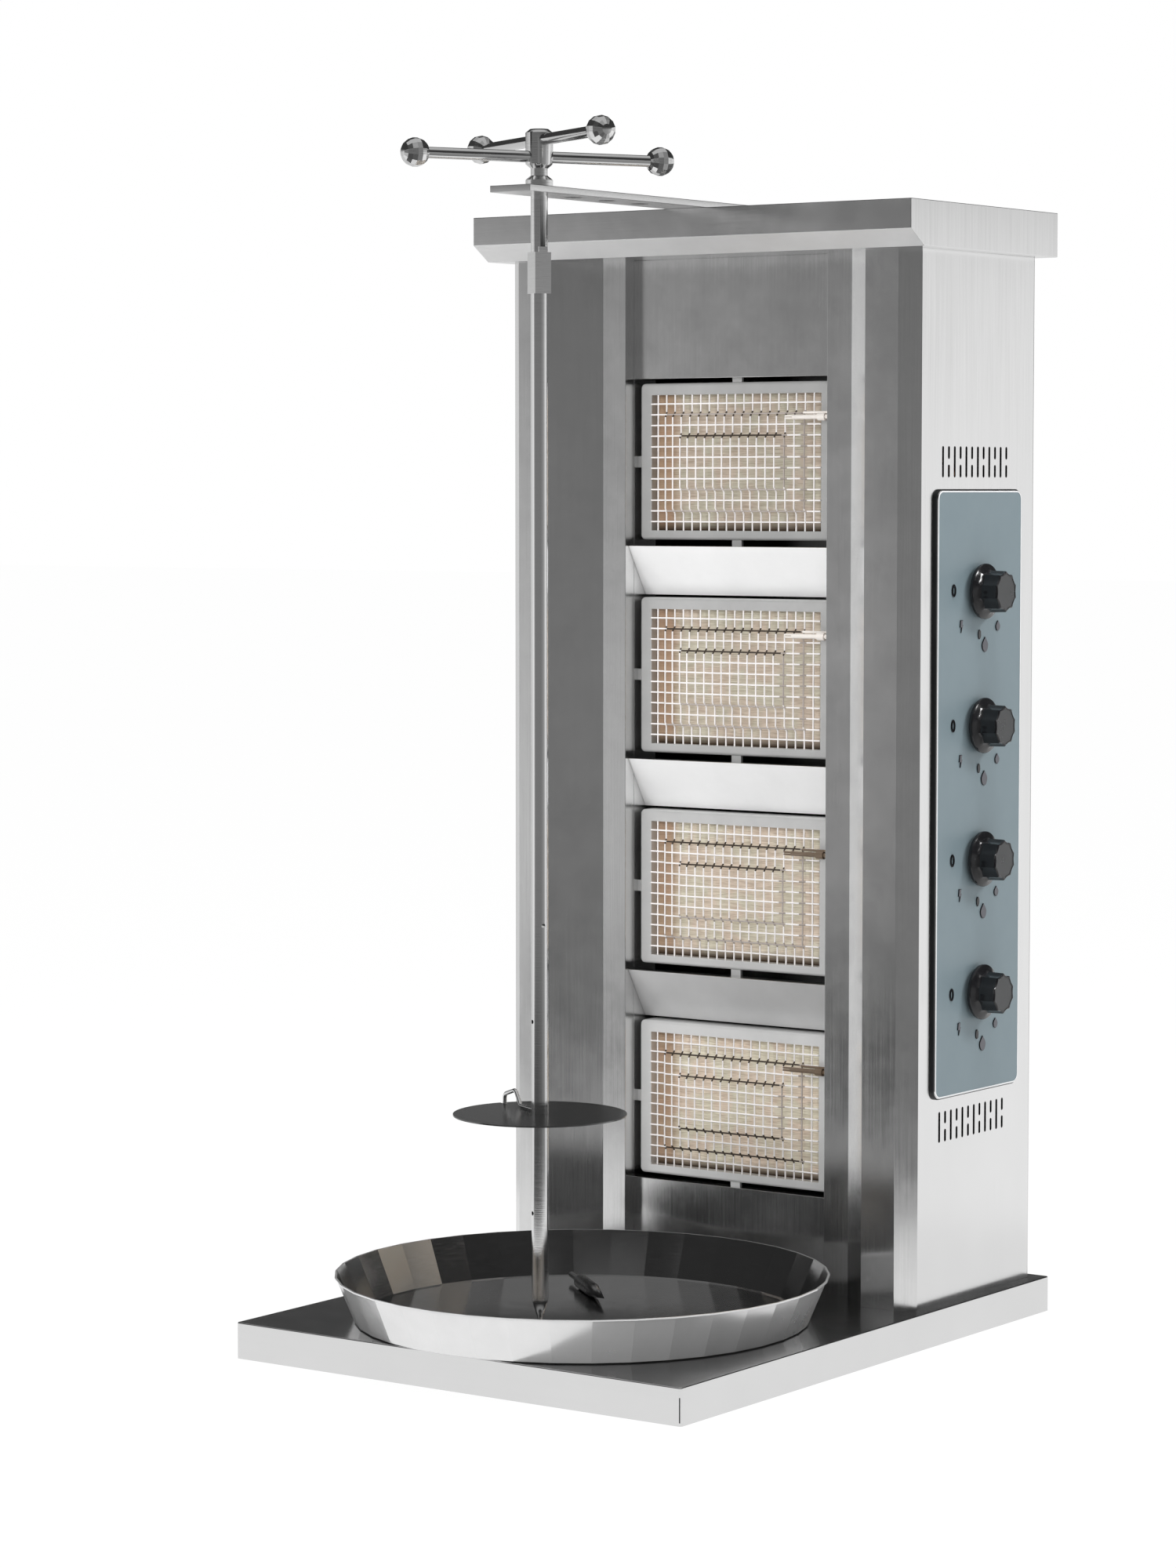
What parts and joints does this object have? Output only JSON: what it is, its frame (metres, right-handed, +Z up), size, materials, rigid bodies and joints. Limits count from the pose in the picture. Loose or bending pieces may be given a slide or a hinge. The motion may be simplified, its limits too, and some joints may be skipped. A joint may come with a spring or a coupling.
{
  "type": "doner kebab grill",
  "caption": "Free-standing gas grill with stacked radiant burners, a hand-turned vertical spit on an arm, a side control panel and a loose round drip pan.",
  "frame": {"origin": "middle of the base's underside", "axes": "+X to the operator's right, +Y towards the back, +Z up"},
  "size_m": [0.5195, 0.6703, 1.1337],
  "materials": {
    "sheet_steel": "brushed",
    "burner_steel": "brushed",
    "wire_steel": "bright drawn wire",
    "ceramic": "porous fired ceramic",
    "probe_steel": "satin",
    "black_plastic": "gloss",
    "brass": "machined",
    "panel_grey": "satin grey with a light line",
    "copper_pipe": "drawn copper",
    "polished_steel": "polished",
    "pan_steel": "brushed",
    "dark_steel": "dark"
  },
  "bodies": {
    "cabinet": {"base_deck": "sheet_steel", "base_channels": "sheet_steel", "side_panel_left": "sheet_steel", "side_panel_right": "sheet_steel", "back_panel": "sheet_steel", "cap_shell": "sheet_steel", "cap_channel": "sheet_steel", "upper_front_panel": "sheet_steel", "lower_front_panel": "sheet_steel", "deflectors": "sheet_steel", "burner_rails": "sheet_steel", "screws": "sheet_steel", "burner_frame_1": "burner_steel", "burner_plenum_1": "burner_steel", "burner_screen_1": "wire_steel", "burner_tile_1": "ceramic", "flame_probe_1": "probe_steel", "gas_valve_1": "brass", "burner_frame_2": "burner_steel", "burner_plenum_2": "burner_steel", "burner_screen_2": "wire_steel", "burner_tile_2": "ceramic", "flame_probe_2": "probe_steel", "gas_valve_2": "brass", "burner_frame_3": "burner_steel", "burner_plenum_3": "burner_steel", "burner_screen_3": "wire_steel", "burner_tile_3": "ceramic", "flame_probe_3": "probe_steel", "gas_valve_3": "brass", "burner_frame_4": "burner_steel", "burner_plenum_4": "burner_steel", "burner_screen_4": "wire_steel", "burner_tile_4": "ceramic", "flame_probe_4": "probe_steel", "gas_valve_4": "brass", "control_panel": "panel_grey", "gas_manifold": "sheet_steel", "feed_pipes": "copper_pipe", "spit_arm": "polished_steel"},
    "washer": {"thrust_washer": "polished_steel"},
    "spit": {"spit_shaft": "polished_steel", "handle_bars": "polished_steel", "handle_balls": "polished_steel", "meat_disc": "polished_steel"},
    "pin": {"disc_pin": "polished_steel"},
    "pan": {"drip_pan": "pan_steel", "loose_spike": "dark_steel"},
    "plug_1": {"valve_plug_1": "brass"},
    "control_1": {"knob_1": "black_plastic", "valve_spindle_1": "wire_steel"},
    "plug_2": {"valve_plug_2": "brass"},
    "control_2": {"knob_2": "black_plastic", "valve_spindle_2": "wire_steel"},
    "plug_3": {"valve_plug_3": "brass"},
    "control_3": {"knob_3": "black_plastic", "valve_spindle_3": "wire_steel"},
    "plug_4": {"valve_plug_4": "brass"},
    "control_4": {"knob_4": "black_plastic", "valve_spindle_4": "wire_steel"}
  },
  "joints": [
    {"name": "spit_lift", "type": "slide", "parent": "cabinet", "child": "washer", "axis": [0, 0, 1], "range_m": [0, 0.045]},
    {"name": "spit_spin", "type": "hinge", "parent": "washer", "child": "spit", "pos_m": [0, -0.1847, 1.079], "axis": [0, 0, 1], "continuous": true},
    {"name": "disc_pin_pull", "type": "slide", "parent": "spit", "child": "pin", "axis": [-0.8846, 0.4664, 0], "range_m": [0, 0.072]},
    {"name": "pan_slide", "type": "slide", "parent": "cabinet", "child": "pan", "axis": [0, -1, 0], "range_m": [0, 0.19]},
    {"name": "knob_turn_1", "type": "hinge", "parent": "cabinet", "child": "plug_1", "pos_m": [0.207, 0.197, 0.70925], "axis": [1, 0, 0], "range_deg": [0, 135]},
    {"name": "knob_push_1", "type": "slide", "parent": "plug_1", "child": "control_1", "axis": [-1, 0, 0], "range_m": [0, 0.003], "stiffness_N_per_m": 900, "springref_m": -0.003},
    {"name": "knob_turn_2", "type": "hinge", "parent": "cabinet", "child": "plug_2", "pos_m": [0.207, 0.197, 0.58175], "axis": [1, 0, 0], "range_deg": [0, 135]},
    {"name": "knob_push_2", "type": "slide", "parent": "plug_2", "child": "control_2", "axis": [-1, 0, 0], "range_m": [0, 0.003], "stiffness_N_per_m": 900, "springref_m": -0.003},
    {"name": "knob_turn_3", "type": "hinge", "parent": "cabinet", "child": "plug_3", "pos_m": [0.207, 0.197, 0.45425], "axis": [1, 0, 0], "range_deg": [0, 135]},
    {"name": "knob_push_3", "type": "slide", "parent": "plug_3", "child": "control_3", "axis": [-1, 0, 0], "range_m": [0, 0.003], "stiffness_N_per_m": 900, "springref_m": -0.003},
    {"name": "knob_turn_4", "type": "hinge", "parent": "cabinet", "child": "plug_4", "pos_m": [0.207, 0.197, 0.32675], "axis": [1, 0, 0], "range_deg": [0, 135]},
    {"name": "knob_push_4", "type": "slide", "parent": "plug_4", "child": "control_4", "axis": [-1, 0, 0], "range_m": [0, 0.003], "stiffness_N_per_m": 900, "springref_m": -0.003}
  ]
}
